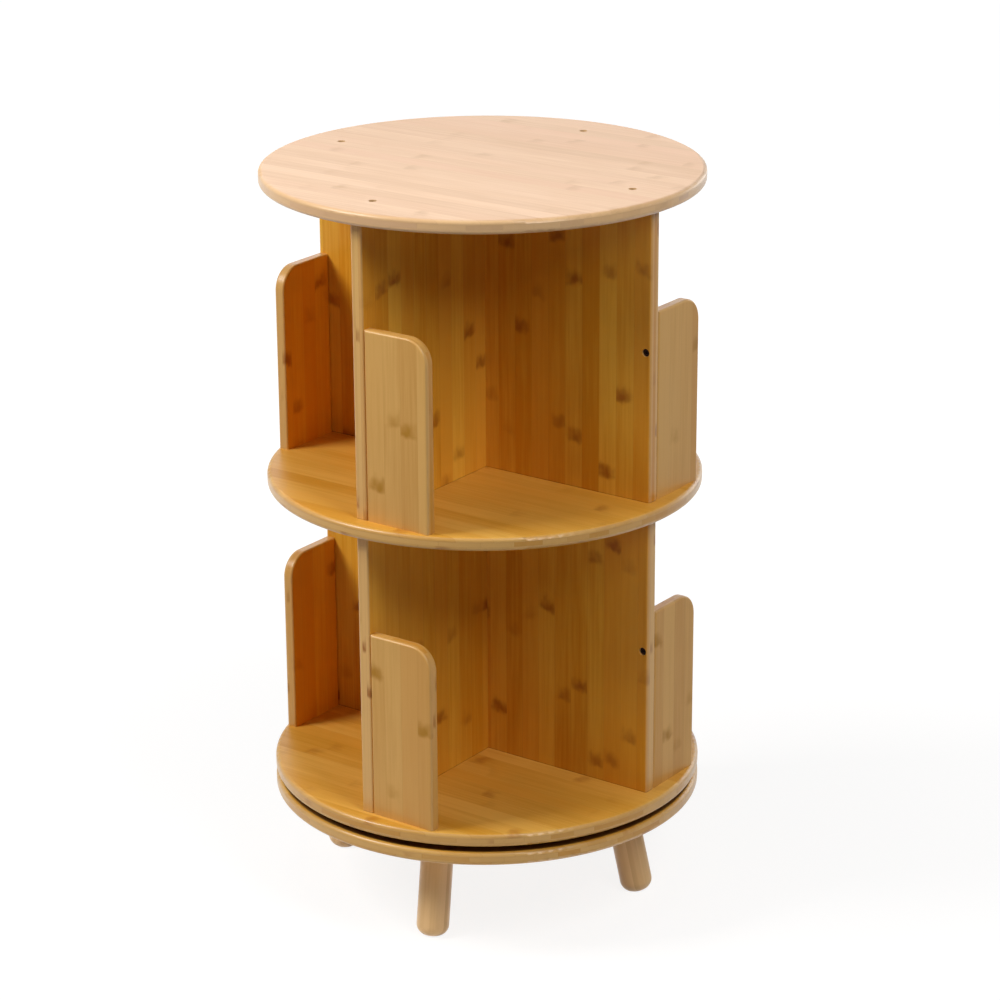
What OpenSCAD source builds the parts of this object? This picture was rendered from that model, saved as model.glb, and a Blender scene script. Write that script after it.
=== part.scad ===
// Two-tier revolving bookcase in laminated bamboo.
// A carousel of three round boards, crossed partitions and book stops turns on a thrust ball
// bearing above a fixed round base with four splayed legs.
// Frame: millimetres, +Z up, origin on the floor under the turning axis.
// The four partition arms lie along +X, +Y, -X and -Y.

/* [Boards] */
// Diameter of the round boards
shelf_d = 450; // [420:5:520]
// Thickness of the round boards and partitions
board_t = 14; // [12:0.5:18]
// Rounding of the round boards' rims, top and bottom
rim_r = 4; // [2:0.5:5]
// Rounding of the edges of partitions and stops
edge_r = 2.5; // [1:0.5:4]
// Clear height of each book tier
tier_clear = 303; // [250:1:340]

/* [Partitions and stops] */
// Distance from a partition's outer end to the shelf rim
arm_inset = 17.5; // [16:0.5:30]
// Width of a book stop, measured from the partition's face
stop_w = 75; // [50:1:78]
// Thickness of a book stop
stop_t = 12; // [10:0.5:16]
// Height of a book stop
stop_h = 196; // [170:1:240]
// Radius of the stop's free upper corner
stop_corner_r = 25; // [10:1:40]

/* [Base and legs] */
// Gap between the turntable deck and the base disc, filled by the bearing
bearing_gap = 6.5; // [6:0.1:8]
// Diameter of a leg
leg_d = 34; // [28:1:40]
// Height of the base disc's underside above the floor
leg_h = 108; // [70:1:150]
// Lean of a leg away from the upright
leg_splay = 12; // [5:1:18]
// Distance from the base disc's rim to a leg's axis at the disc's underside
leg_inset = 78; // [70:1:90]
// Angle of the first leg from the +X partition arm
leg_turn = 16; // [0:1:89]
// Rounding of a leg's foot
foot_r = 12; // [4:0.5:13]

/* [Bearing] */
// Diameter of the two bearing plates
bearing_d = 210; // [170:1:230]
// Thickness of a bearing plate
plate_t = 1.2; // [1:0.1:1.5]
// Distance from a plate's edge to the ball track
track_inset = 25; // [23:0.5:30]
// Depth of the ball groove in each plate
groove_depth = 0.25; // [0.15:0.05:0.5]
// Number of balls
ball_count = 24; // [12:1:36]
// Outside diameter of the rivet tube in the middle of the bearing
rivet_d = 20; // [14:1:24]

/* [Fasteners] */
// Shank diameter of the wood screws
screw_d = 5; // [4:0.5:5.5]
// Head diameter of the wood screws
screw_head_d = 8; // [7:0.1:9]
// Head height of the wood screws
screw_head_h = 3; // [2:0.5:4]
// Depth of a screw head below the board's face
head_sink = 2; // [1:0.5:2.5]
// Grip of a wood screw in the board that it holds
screw_grip = 26; // [20:1:32]
// Distance from a partition's outer end to the screws in its upper and lower edges
arm_screw_inset = 27.5; // [20:0.5:40]
// Height of the screw through the partition into a stop
stop_screw_rise = 156; // [120:1:160]
// Diameter of the wooden dowels
dowel_d = 8; // [6:0.5:9]
// Shank diameter of the leg bolts
leg_bolt_d = 8; // [6:0.5:9]

/* [Clearances] */
// Side clearance of the crossed partitions in each other's slots
slot_gap = 0.1; // [0.05:0.05:0.3]
// Radial clearance of a shank in its hole
shank_gap = 0.1; // [0.05:0.05:0.3]
// Radial clearance of a screw head in its counterbore
head_gap = 0.2; // [0.1:0.05:0.4]
// Running clearance of the bearing's turning faces
run_gap = 0.05; // [0.02:0.01:0.08]

/* [Hidden] */
$fn = 64;
shelf_r = shelf_d / 2;
half_t = board_t / 2;
arm_reach = shelf_r - arm_inset;
arm_screw_r = arm_reach - arm_screw_inset;
leg_ring_r = shelf_r - leg_inset;

// Heights of the boards' undersides, from the floor up
base_z = leg_h;
base_top_z = base_z + board_t;
deck_z = base_top_z + bearing_gap;
lower_floor_z = deck_z + board_t;
mid_z = lower_floor_z + tier_clear;
upper_floor_z = mid_z + board_t;
top_z = upper_floor_z + tier_clear;
top_face_z = top_z + board_t;

// Screws: the head's seat below the board's face, and the whole shank
seat_depth = screw_head_h + head_sink;
screw_len = board_t - seat_depth + screw_grip;
tip_h = 4;
tip_d = 1;
socket_af = 4;
socket_depth = 2;
stop_mid_r = arm_reach - stop_t / 2;
stop_base_y = half_t + stop_w / 2;

// Dowels between the middle shelf and the upper partitions
dowel_r = 100;
dowel_in_shelf = 9;
dowel_in_partition = 20;

// Bearing, measured from the base disc's top face
plate_space = bearing_gap - 2 * plate_t;
ball_circle_d = bearing_d - 2 * track_inset;
ball_d = plate_space + 2 * (groove_depth - run_gap);
ball_mid_z = base_top_z + bearing_gap / 2;
cage_t = 1.4;
cage_rim = 3.5;
cage_w = ball_d + 2 * cage_rim;
rivet_wall = 1.5;
rivet_flange_w = 5;
rivet_flange_t = 1;
rivet_flange_d = rivet_d + 2 * rivet_flange_w;
pocket_margin = 3;
pocket_d = rivet_flange_d + 2 * pocket_margin;
pocket_depth = rivet_flange_t + pocket_margin / 2;
plate_screw_d = 3.5;
plate_screw_head_d = 7;
plate_screw_head_h = 1.6;
plate_screw_len = 11;
cross_l = 4;
cross_w = 1;
cross_depth = 1;
plate_screw_edge = 11;
plate_screw_step = 15;
lower_screw_r = bearing_d / 2 - plate_screw_edge;
upper_screw_r = ball_circle_d / 2 - plate_screw_step;
plate_screw_turn = 45;
access_d = 14;

// Leg fixings, measured along the leg's own axis from the base disc's underside
bolt_seat = half_t;
bolt_head_d = 13;
bolt_head_h = 4.5;
bolt_socket_af = 5;
bolt_socket_depth = 2.5;
insert_wall = 2;
insert_d = leg_bolt_d + 2 * insert_wall;
insert_start = 2;
insert_len = 25;
bolt_in_insert = 22;
foot_cut = 1.5;

// Overlaps of cutting shapes past the faces that they cut
over = 1;
slack = 20;

bamboo = "#d6a35c";
pale_bamboo = "#e6bd86";
black_steel = "#26231f";
zinc = "#b9bcc0";
dowel_wood = "#d9bd8c";

// Repeats its children on the four partition arms
module on_arms() {
    for (arm = [0:3])
        rotate(90 * arm) children();
}

// Repeats its children on the four leg axes, with Z along each leg and 0 at the base's underside
module on_legs() {
    for (leg = [0:3])
        on_leg(leg) children();
}

module on_leg(leg) {
    rotate(leg_turn + 90 * leg)
        translate([leg_ring_r, 0, base_z])
            rotate([0, -leg_splay, 0]) children();
}

// Half section of a strip whose outer edge is rounded above and below
module rounded_edge(length, thick, radius) {
    square([length - radius, thick]);
    translate([0, radius]) square([length, thick - 2 * radius]);
    translate([length - radius, radius]) circle(radius);
    translate([length - radius, thick - radius]) circle(radius);
}

// Plan of a board with both ends rounded
module board_plan(half_length) {
    for (side = [0, 1])
        mirror([side, 0])
            translate([0, -half_t]) rounded_edge(half_length, board_t, edge_r);
}

module round_board() {
    rotate_extrude($fn = 180) rounded_edge(shelf_r, board_t, rim_r);
}

// Screw with its head above Z = 0 and its shank below
module wood_screw() {
    difference() {
        union() {
            cylinder(h = screw_head_h, d = screw_head_d);
            translate([0, 0, tip_h - screw_len]) cylinder(h = screw_len - tip_h, d = screw_d);
            translate([0, 0, -screw_len]) cylinder(h = tip_h, d1 = tip_d, d2 = screw_d);
        }
        translate([0, 0, screw_head_h - socket_depth])
            cylinder(h = socket_depth + over, d = socket_af / cos(30), $fn = 6);
    }
}

// Space that a screw takes in the boards, counterbore included
module screw_bore() {
    translate([0, 0, -screw_len]) cylinder(h = screw_len + over, d = screw_d + 2 * shank_gap);
    cylinder(h = seat_depth + over, d = screw_head_d + 2 * head_gap);
}

// Places of the wood screws, with Z pointing out of the board at the head's seat
module at_top_screws() {
    on_arms() translate([arm_screw_r, 0, top_face_z - seat_depth]) children();
}

module at_mid_screws() {
    on_arms() translate([arm_screw_r, 0, upper_floor_z - seat_depth]) children();
}

module at_deck_screws() {
    on_arms() translate([arm_screw_r, 0, deck_z + seat_depth]) mirror([0, 0, 1]) children();
}

module at_stop_screws(floor_z) {
    on_arms() stop_screw_place(floor_z) children();
}

module stop_screw_place(floor_z) {
    translate([stop_mid_r, seat_depth - half_t, floor_z + stop_screw_rise])
        rotate([90, 0, 0]) children();
}

module at_stop_base_screws(floor_z) {
    on_arms() stop_base_place(floor_z) children();
}

module stop_base_place(floor_z) {
    translate([stop_mid_r, stop_base_y, floor_z - board_t + seat_depth])
        mirror([0, 0, 1]) children();
}

module at_dowels() {
    on_arms() translate([dowel_r, 0, upper_floor_z - dowel_in_shelf]) children();
}

module dowel_bore() {
    cylinder(h = dowel_in_shelf + dowel_in_partition, d = dowel_d);
}

// Screws of the bearing plates, with Z pointing away from the board
module at_lower_plate_screws() {
    for (k = [0:3])
        rotate(plate_screw_turn + 90 * k)
            translate([lower_screw_r, 0, base_top_z + plate_t]) children();
}

module at_upper_plate_screws() {
    for (k = [0:3])
        rotate(plate_screw_turn + 90 * k)
            translate([upper_screw_r, 0, deck_z - plate_t]) mirror([0, 0, 1]) children();
}

module plate_screw() {
    difference() {
        union() {
            cylinder(h = plate_screw_head_h, d = plate_screw_head_d);
            translate([0, 0, -plate_screw_len]) cylinder(h = plate_screw_len, d = plate_screw_d);
        }
        for (turn = [0, 90])
            rotate(turn)
                translate([-cross_l / 2, -cross_w / 2, plate_screw_head_h - cross_depth])
                    cube([cross_l, cross_w, cross_depth + over]);
    }
}

module plate_screw_bore() {
    translate([0, 0, -plate_screw_len])
        cylinder(h = plate_screw_len + over, d = plate_screw_d + 2 * shank_gap);
}

// Round boards
module top_panel() {
    color(pale_bamboo)
    difference() {
        translate([0, 0, top_z]) round_board();
        at_top_screws() screw_bore();
    }
}

module mid_shelf() {
    color(bamboo)
    difference() {
        translate([0, 0, mid_z]) round_board();
        at_mid_screws() screw_bore();
        at_stop_base_screws(upper_floor_z) screw_bore();
        at_dowels() dowel_bore();
    }
}

module turntable_deck() {
    color(bamboo)
    difference() {
        translate([0, 0, deck_z]) round_board();
        at_deck_screws() screw_bore();
        at_stop_base_screws(lower_floor_z) screw_bore();
        at_upper_plate_screws() plate_screw_bore();
        translate([0, 0, deck_z - over]) cylinder(h = pocket_depth + over, d = pocket_d);
    }
}

module base_disc() {
    color(bamboo)
    difference() {
        translate([0, 0, base_z]) round_board();
        at_lower_plate_screws() plate_screw_bore();
        rotate(plate_screw_turn)
            translate([upper_screw_r, 0, base_z - over]) cylinder(h = board_t + 2 * over, d = access_d);
        on_legs() leg_bolt_bore();
    }
}

// Crossed partitions: number 1 lies along X with its slot open above,
// number 2 lies along Y with its slot open below
module partition_blank(floor_z, turn) {
    translate([0, 0, floor_z])
        rotate(turn) linear_extrude(tier_clear) board_plan(arm_reach);
}

module cross_slot(floor_z, open_above) {
    slot_half = half_t + slot_gap;
    slot_z = open_above ? floor_z + tier_clear / 2 : floor_z - slack;
    translate([-slot_half, -slot_half, slot_z])
        cube([2 * slot_half, 2 * slot_half, tier_clear / 2 + slack]);
}

module upper_partition(turn, open_above) {
    color(bamboo)
    difference() {
        partition_blank(upper_floor_z, turn);
        cross_slot(upper_floor_z, open_above);
        at_top_screws() screw_bore();
        at_stop_screws(upper_floor_z) screw_bore();
        at_dowels() dowel_bore();
    }
}

module lower_partition(turn, open_above) {
    color(bamboo)
    difference() {
        partition_blank(lower_floor_z, turn);
        cross_slot(lower_floor_z, open_above);
        at_mid_screws() screw_bore();
        at_deck_screws() screw_bore();
        at_stop_screws(lower_floor_z) screw_bore();
    }
}

// Book stop: upright strip at an arm's outer end, with one round corner and rounded edges.
// X runs through its thickness, Y away from the partition, Z up.
module stop_blank() {
    straight_w = stop_w - stop_corner_r;
    straight_h = stop_h - stop_corner_r;
    intersection() {
        union() {
            cube([stop_t, straight_w, straight_h]);
            translate([0, straight_w, 0]) stop_edge(straight_h);
            translate([0, 0, straight_h]) mirror([0, 1, -1]) stop_edge(straight_w);
            translate([0, straight_w, straight_h]) stop_corner();
        }
        linear_extrude(stop_h)
            translate([0, stop_w]) rotate(-90) rounded_edge(stop_w, stop_t, edge_r);
    }
}

// Straight length of the stop's rounded edge, standing along Z
module stop_edge(length) {
    linear_extrude(length)
        mirror([1, -1]) rounded_edge(stop_corner_r, stop_t, edge_r);
}

// Quarter turn of the same edge, from Y round to Z
module stop_corner() {
    rotate([90, 0, 90])
        rotate_extrude(angle = 90) rounded_edge(stop_corner_r, stop_t, edge_r);
}

module book_stop(floor_z, arm) {
    color(bamboo)
    rotate(90 * arm)
    difference() {
        translate([arm_reach - stop_t, half_t, floor_z]) stop_blank();
        stop_screw_place(floor_z) screw_bore();
        stop_base_place(floor_z) screw_bore();
    }
}

// Legs: round posts cut level at the floor and under the base disc
module leg_post(leg) {
    post_len = (leg_h + foot_cut) / cos(leg_splay);
    color(pale_bamboo)
    difference() {
        intersection() {
            on_leg(leg)
                translate([0, 0, -post_len]) rotate_extrude() leg_section(post_len + slack);
            translate([-shelf_r, -shelf_r, 0]) cube([shelf_d, shelf_d, base_z]);
        }
        on_leg(leg) leg_insert_bore();
    }
}

module leg_section(length) {
    foot_flat_r = leg_d / 2 - foot_r;
    translate([0, foot_r]) square([leg_d / 2, length - foot_r]);
    square([foot_flat_r, length]);
    intersection() {
        translate([foot_flat_r, foot_r]) circle(foot_r);
        square([leg_d / 2, length]);
    }
}

module leg_insert_bore() {
    translate([0, 0, -insert_start - insert_len])
        cylinder(h = insert_start + insert_len + slack, d = insert_d);
}

module leg_bolt_bore() {
    translate([0, 0, -slack]) cylinder(h = 2 * slack, d = leg_bolt_d + 2 * shank_gap);
    translate([0, 0, bolt_seat]) cylinder(h = slack, d = bolt_head_d + 2 * head_gap);
}

module leg_bolt() {
    shank_len = bolt_seat + insert_start + bolt_in_insert;
    translate([0, 0, bolt_seat])
    difference() {
        union() {
            cylinder(h = bolt_head_h, d = bolt_head_d);
            translate([0, 0, -shank_len]) cylinder(h = shank_len, d = leg_bolt_d);
        }
        translate([0, 0, bolt_head_h - bolt_socket_depth])
            cylinder(h = bolt_socket_depth + over, d = bolt_socket_af / cos(30), $fn = 6);
    }
}

module leg_insert() {
    translate([0, 0, -insert_start - insert_len])
    difference() {
        cylinder(h = insert_len, d = insert_d);
        translate([0, 0, -over]) cylinder(h = insert_len + 2 * over, d = leg_bolt_d + 2 * shank_gap);
    }
}

// Bearing
module ball_groove() {
    translate([0, 0, ball_mid_z])
        rotate_extrude($fn = 128) translate([ball_circle_d / 2, 0]) circle(d = ball_d + 2 * run_gap);
}

module bearing_upper_plate() {
    color(zinc)
    difference() {
        translate([0, 0, deck_z - plate_t]) cylinder(h = plate_t, d = bearing_d, $fn = 128);
        translate([0, 0, deck_z - plate_t - over])
            cylinder(h = plate_t + 2 * over, d = rivet_d + 2 * run_gap);
        ball_groove();
        at_upper_plate_screws() plate_screw_bore();
    }
}

module bearing_lower_plate() {
    color(zinc)
    difference() {
        translate([0, 0, base_top_z]) cylinder(h = plate_t, d = bearing_d, $fn = 128);
        translate([0, 0, base_top_z - over]) cylinder(h = plate_t + 2 * over, d = rivet_d);
        ball_groove();
        at_lower_plate_screws() plate_screw_bore();
        rotate(plate_screw_turn)
            translate([upper_screw_r, 0, base_top_z - over]) cylinder(h = plate_t + 2 * over, d = access_d);
    }
}

module on_balls() {
    for (k = [0:ball_count - 1])
        rotate(360 / ball_count * k)
            translate([ball_circle_d / 2, 0, ball_mid_z]) children();
}

module ball_cage() {
    color("silver")
    difference() {
        translate([0, 0, ball_mid_z - cage_t / 2])
            cylinder(h = cage_t, d = ball_circle_d + cage_w, $fn = 128);
        translate([0, 0, ball_mid_z - cage_t])
            cylinder(h = 2 * cage_t, d = ball_circle_d - cage_w, $fn = 128);
        on_balls() cylinder(h = 2 * cage_t, d = ball_d + 2 * run_gap, center = true);
    }
}

module bearing_balls() {
    color("gainsboro")
    on_balls() sphere(d = ball_d);
}

module pivot_rivet() {
    flange_z = deck_z + 2 * run_gap;
    color(zinc)
    difference() {
        union() {
            translate([0, 0, base_top_z]) cylinder(h = flange_z - base_top_z, d = rivet_d);
            translate([0, 0, flange_z]) cylinder(h = rivet_flange_t, d = rivet_flange_d);
        }
        translate([0, 0, base_top_z - over])
            cylinder(h = bearing_gap + slack, d = rivet_d - 2 * rivet_wall);
    }
}

module bearing_upper_screws() {
    color(zinc) at_upper_plate_screws() plate_screw();
}

module bearing_lower_screws() {
    color(zinc) at_lower_plate_screws() plate_screw();
}

// Wood screws and dowels
module top_screws() {
    color(black_steel) at_top_screws() wood_screw();
}

module mid_shelf_screws() {
    color(black_steel) at_mid_screws() wood_screw();
}

module deck_screws() {
    color(black_steel) at_deck_screws() wood_screw();
}

module stop_screws(floor_z) {
    color(black_steel) at_stop_screws(floor_z) wood_screw();
}

module stop_base_screws(floor_z) {
    color(black_steel) at_stop_base_screws(floor_z) wood_screw();
}

module partition_dowels() {
    color(dowel_wood) at_dowels() dowel_bore();
}

module leg_bolts() {
    color(zinc) on_legs() leg_bolt();
}

module leg_inserts() {
    color(zinc) on_legs() leg_insert();
}

top_panel();
mid_shelf();
turntable_deck();
base_disc();
upper_partition(0, true);  // upper_partition_1
upper_partition(90, false);  // upper_partition_2
lower_partition(0, true);  // lower_partition_1
lower_partition(90, false);  // lower_partition_2
book_stop(upper_floor_z, 0);  // upper_stop_1
book_stop(upper_floor_z, 1);  // upper_stop_2
book_stop(upper_floor_z, 2);  // upper_stop_3
book_stop(upper_floor_z, 3);  // upper_stop_4
book_stop(lower_floor_z, 0);  // lower_stop_1
book_stop(lower_floor_z, 1);  // lower_stop_2
book_stop(lower_floor_z, 2);  // lower_stop_3
book_stop(lower_floor_z, 3);  // lower_stop_4
leg_post(0);  // leg_1
leg_post(1);  // leg_2
leg_post(2);  // leg_3
leg_post(3);  // leg_4
bearing_upper_plate();
bearing_lower_plate();
ball_cage();
bearing_balls();
pivot_rivet();
bearing_upper_screws();
bearing_lower_screws();
top_screws();
mid_shelf_screws();
deck_screws();
stop_screws(upper_floor_z);  // upper_stop_screws
stop_screws(lower_floor_z);  // lower_stop_screws
stop_base_screws(upper_floor_z);  // upper_stop_base_screws
stop_base_screws(lower_floor_z);  // lower_stop_base_screws
partition_dowels();
leg_bolts();
leg_inserts();
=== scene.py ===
"""Dresses a two-tier revolving bookcase: lacquered bamboo boards, a steel turntable bearing,
black screws and a plain studio. Every length is in metres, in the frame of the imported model."""

import math

import bpy
from bpy.props import FloatProperty, FloatVectorProperty, PointerProperty
from bpy.types import Operator, Panel, PropertyGroup
from mathutils import Matrix, Vector


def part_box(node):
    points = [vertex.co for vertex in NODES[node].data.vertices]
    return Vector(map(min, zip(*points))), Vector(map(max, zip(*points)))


bl_info = {
    "name": "Revolving bookcase",
    "version": (1, 0, 0),
    "blender": (4, 5, 0),
    "location": "3D View > Sidebar > Bookcase",
    "description": "Dresses a two-tier revolving bookcase in lacquered bamboo",
    "category": "Object",
}

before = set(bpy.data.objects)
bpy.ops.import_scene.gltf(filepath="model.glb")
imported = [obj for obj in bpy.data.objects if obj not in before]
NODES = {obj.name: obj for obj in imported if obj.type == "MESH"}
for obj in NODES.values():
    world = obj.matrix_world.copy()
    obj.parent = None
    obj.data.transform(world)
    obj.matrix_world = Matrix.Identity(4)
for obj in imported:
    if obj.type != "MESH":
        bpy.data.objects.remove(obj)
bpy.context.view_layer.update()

X_AXIS = Vector((1, 0, 0))
Y_AXIS = Vector((0, 1, 0))
Z_AXIS = Vector((0, 0, 1))

ROUND_BOARDS = ("top_panel", "mid_shelf", "turntable_deck", "base_disc")
TIERS = ("upper", "lower")
ARM_DIRECTIONS = (X_AXIS, Y_AXIS, -X_AXIS, -Y_AXIS)
LEG_COUNT = 4
LEG_LEAN = math.radians(12)
BOARD_THICKNESS = 0.014
STOP_THICKNESS = 0.012
PLIES = 3

# The first seed of each group of pieces; its seed gives a piece its own grain
BOARD_SEED = 1
PARTITION_SEED = 10
STOP_SEED = 20
LEG_SEED = 40
DOWEL_SEED = 50

# A fade holds where it starts and ends, then the levels it goes from and to if not 0 and 1

# Lacquer: reflection, clear coat on the faces and on the narrow edges, and relief of the grain
LACQUER_SPECULAR = 0.24
COAT_ROUGHNESS = 0.29
BOARD_GLOSS = 0.06
SHELF_GLOSS = 0.24
EDGE_GLOSS = 0.30
GRAIN_RELIEF = 0.00025
GRAIN_STRENGTH = 0.35

# Narrow edges and back faces, by how squarely the surface looks along the board's thickness
EDGE_FADE = (0.985, 0.70)
EDGE_BLEND = 0.70
# The back face's mask puts the book stops' inner colours, partly painted shade, on their face towards the
# books.
BACK_FADE = (0.3, -0.3)

# Strips: inset of the faces in their plies, and shifts of the strips by ply, seed and cane
PLY_INSET = 0.001
PLY_SHIFT = 0.37
SEED_SHIFT = 0.311
CANE_SHIFT = 7.0
LENGTH_SEED = 0.5
WHOLE_STRIP = 1.0

# Glue lines, by the share of a strip or a ply out from its middle
JOINT_FADE = (0.486, 0.4985)
SEAM_FADE = (0.44, 0.495)
LINE_BLEND = 0.22

# Noises of the grain, in cells per metre across, along and through a strip
RAGGED_CELLS = (150.0, 75.0, 150.0)
BLOT_CELLS = (100.0, 85.0, 100.0)
FIBRE_CELLS = (1500.0, 22.0, 1500.0)
STREAK_CELLS = (330.0, 9.0, 330.0)
DRIFT_CELLS = (40.0, 8.0, 40.0)

# Shifts of the grain across, along and through, by the strip, its cane and the piece's seed
GRAIN_SHIFTS = (0.173, 3.1, 0.41)

# How far each effect moves a strip's tone from pale to deep, and how warm some strips are
STRIP_TONE = 0.75
LENGTH_TONE = 0.35
FIBRE_TONE = 0.80
STREAK_TONE = 1.05
DRIFT_TONE = 0.80
LENGTH_FADE = (-0.0015, 0.0015)
WARM_FADE = (0.45, 1.0, 0.0, 0.6)

# Dashes on the sawn edges: the darker strips of the middle ply
MIDDLE_FADE = (0.55, 0.45, 0.25, 0.85)
DASH_FADE = (0.45, 0.85)
DASH_KNUCKLE = 0.35

# Growth rings: how clearly they show on each kind of piece
BOARD_RINGS = 1.0
SHELF_RINGS = 0.6
TOP_RINGS = 0.4
NO_RINGS = 0.0

# Place and outline of a growth ring's stain, and of the crease along its middle
RING_SLIDE = 0.5
RING_TILT = 0.010
RING_WAVER = 0.009
RING_REACH = 0.0075
RING_SKEW = 0.0030
RING_LEAN = 0.4
RING_NARROW = 2.4
RING_WIDEN = -0.7
RING_BOXY = 3.0
RING_RAGGED = 0.85
STAIN_FADE = (1.30, 0.05)
PATCH_FADE = (0.80, 0.35, 0.65, 1.0)
HALO_FADE = (1.60, 0.50)
HALO_SHARE = 0.22
STAIN_STRENGTH = (0.0, 0.75, 0.22, 1.0)
STAIN_BLEND = 0.95
CREASE_FADE = (0.0012, 0.0003)
CREASE_STRENGTH = (0.15, 0.95, 0.12, 0.6)
CREASE_BLEND = 0.20

# What each effect adds to the lacquer's roughness and to the height of its relief
STREAK_ROUGHNESS = 0.16
FIBRE_ROUGHNESS = 0.10
STAIN_ROUGHNESS = 0.06
EDGE_ROUGHNESS = -0.06
STREAK_HEIGHT = 0.35
FIBRE_HEIGHT = 0.45
LINE_HEIGHT = -0.9
CREASE_HEIGHT = -0.5

# Plated metal: clouds and spangles by cells per metre, scratches, and bare metal on the edges
ROUNDED_FADE = (0.99, 0.80)
CLOUD_CELLS = 140.0
SPANGLE_CELLS = 900.0
SCRATCH_CELLS = (2600.0, 120.0, 700.0)
PLATING_TONE = 0.85
CLOUD_TONE = 0.5
BARE_BLEND = 0.5
CLOUD_ROUGHNESS = 0.30
SPANGLE_ROUGHNESS = 0.16
SCRATCH_HEIGHT = 0.6
SPANGLE_HEIGHT = 0.4
SCRATCH_RELIEF = 0.00006
SCRATCH_STRENGTH = 0.3
METAL_SPECULAR = 0.5
SCREW_BARE = (0.10, 0.07, 0.06)

# Painted shade: a dark tone on the base disc in the bearing gap under the deck, and along the foot of the
# partitions where they meet the shelves
PAINTED_SHADE_TONE = (0.048, 0.010, 0.003, 1.0)
GAP_SHADE_SHARE = 0.9
GAP_SHADE_DEPTHS = (0.0008, 0.0003)
GAP_SHADE_INSET = 0.003
GAP_SHADE_FADE = 0.003
FOOT_SHADE_SHARE = 0.35
FOOT_SHADE_HEIGHTS = (0.0012, 0.0004)

# Floor: its fades go by the distance from the turning axis
WHITE = (1.0, 1.0, 1.0, 1.0)
FLOOR_REACH = 14.0
FLOOR_DROP = 0.0005
FLOOR_SHADOW = (0.20, 0.20, 0.20, 1.0)
SURROUND_FADE = (0.40, 0.85)
GLOW_FADE = (0.4, 1.5, 0.86, 1.0)

# Camera and lamps: each lamp's azimuth and elevation in degrees, distance, width and height
SENSOR_WIDTH = 36.0
LAMP_TINT = (1.0, 0.975, 0.945)
LAMP_AIM = Vector((0, 0, 0.42))
LAMPS = (
    ("key", -40, 40, 2.6, 0.9, 0.9),
    ("fill", 73, 45, 2.8, 1.0, 1.3),
    ("over", 20, 82, 2.6, 1.2, 1.2),
    ("back", 216, 24, 3.2, 2.4, 1.2),
    ("rear", 170, 8, 3.0, 2.0, 1.2),
)

# Kinds of sockets in the node groups
NUMBER = "NodeSocketFloat"
VECTOR = "NodeSocketVector"
COLOUR = "NodeSocketColor"


def colour_property(name, description, default):
    """A linear colour that a user can change."""
    return FloatVectorProperty(
        name=name,
        description=description,
        subtype="COLOR",
        size=3,
        min=0.0,
        max=1.0,
        default=default,
    )


def length_property(name, description, default):
    """A length in metres that a user can change."""
    return FloatProperty(name=name, description=description, unit="LENGTH", default=default)


def angle_property(name, description, degrees):
    """An angle that a user can change."""
    default = math.radians(degrees)
    return FloatProperty(name=name, description=description, subtype="ANGLE", default=default)


def number_property(name, description, default):
    """A plain number that a user can change."""
    return FloatProperty(name=name, description=description, default=default)


class BambooFinish(PropertyGroup):
    """Colours and sizes of the lacquered bamboo."""

    # The partitions' deep, red palette is partly painted shade of the bays, which the book stops' inner
    # faces take too.
    pale: colour_property("Boards, pale", "Palest strips of the partitions", (0.835, 0.465, 0.056))
    deep: colour_property("Boards, deep", "Darkest strips of the partitions", (0.655, 0.272, 0.013))
    warm: colour_property("Boards, warm", "Reddest strips of the partitions", (0.720, 0.305, 0.024))
    shelf_pale: colour_property("Shelves, pale", "Palest strips of the shelves", (0.790, 0.455, 0.092))
    shelf_deep: colour_property("Shelves, deep", "Darkest strips of the shelves", (0.635, 0.310, 0.032))
    shelf_warm: colour_property("Shelves, warm", "Reddest strips of the shelves", (0.700, 0.340, 0.040))
    stop_pale: colour_property("Stops, pale", "Palest strips of the book stops", (0.728, 0.418, 0.122))
    stop_deep: colour_property("Stops, deep", "Darkest strips of the book stops", (0.615, 0.318, 0.076))
    stop_warm: colour_property("Stops, warm", "Reddest strips of the book stops", (0.665, 0.333, 0.081))
    knuckle: colour_property("Knuckles", "Growth rings of the boards", (0.36, 0.115, 0.006))
    stop_knuckle: colour_property("Stops, knuckles", "Growth rings of the stops", (0.43, 0.195, 0.012))
    cut: colour_property("Cut edges", "Narrow edges of the shelves and stops", (0.64, 0.372, 0.116))
    end_cut: colour_property("Cut ends", "Upright edges of the partitions", (0.73, 0.458, 0.182))
    # The top's paler palette is painted light: the strong light from above and the sheen on its upper
    # face.
    top_pale: colour_property("Top, pale", "Palest strips of the top board", (0.835, 0.565, 0.365))
    top_deep: colour_property("Top, deep", "Darkest strips of the top board", (0.700, 0.435, 0.250))
    top_warm: colour_property("Top, warm", "Reddest strips of the top board", (0.770, 0.465, 0.290))
    top_knuckle: colour_property("Top, knuckles", "Growth rings of the top board", (0.55, 0.32, 0.16))
    top_cut: colour_property("Top, edge", "Colour of the top board's narrow edge", (0.78, 0.495, 0.218))
    leg_pale: colour_property("Legs, pale", "Palest fibres of the legs", (0.880, 0.590, 0.292))
    leg_deep: colour_property("Legs, deep", "Darkest fibres of the legs", (0.700, 0.430, 0.180))
    strip_width: length_property("Strip width", "Width of one bamboo strip", 0.0205)
    ply: length_property("Ply", "Thickness of one of a board's layers of strips", BOARD_THICKNESS / PLIES)
    stop_ply: length_property(
        "Ply of the stops", "Thickness of one of a book stop's layers of strips", STOP_THICKNESS / PLIES
    )
    knuckle_spacing: length_property(
        "Knuckle spacing", "Distance along a strip from one growth ring to the next", 0.24
    )
    lacquer_roughness: FloatProperty(
        name="Lacquer roughness",
        description="Roughness of the satin lacquer",
        subtype="FACTOR",
        min=0.0,
        max=1.0,
        default=0.40,
    )


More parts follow.
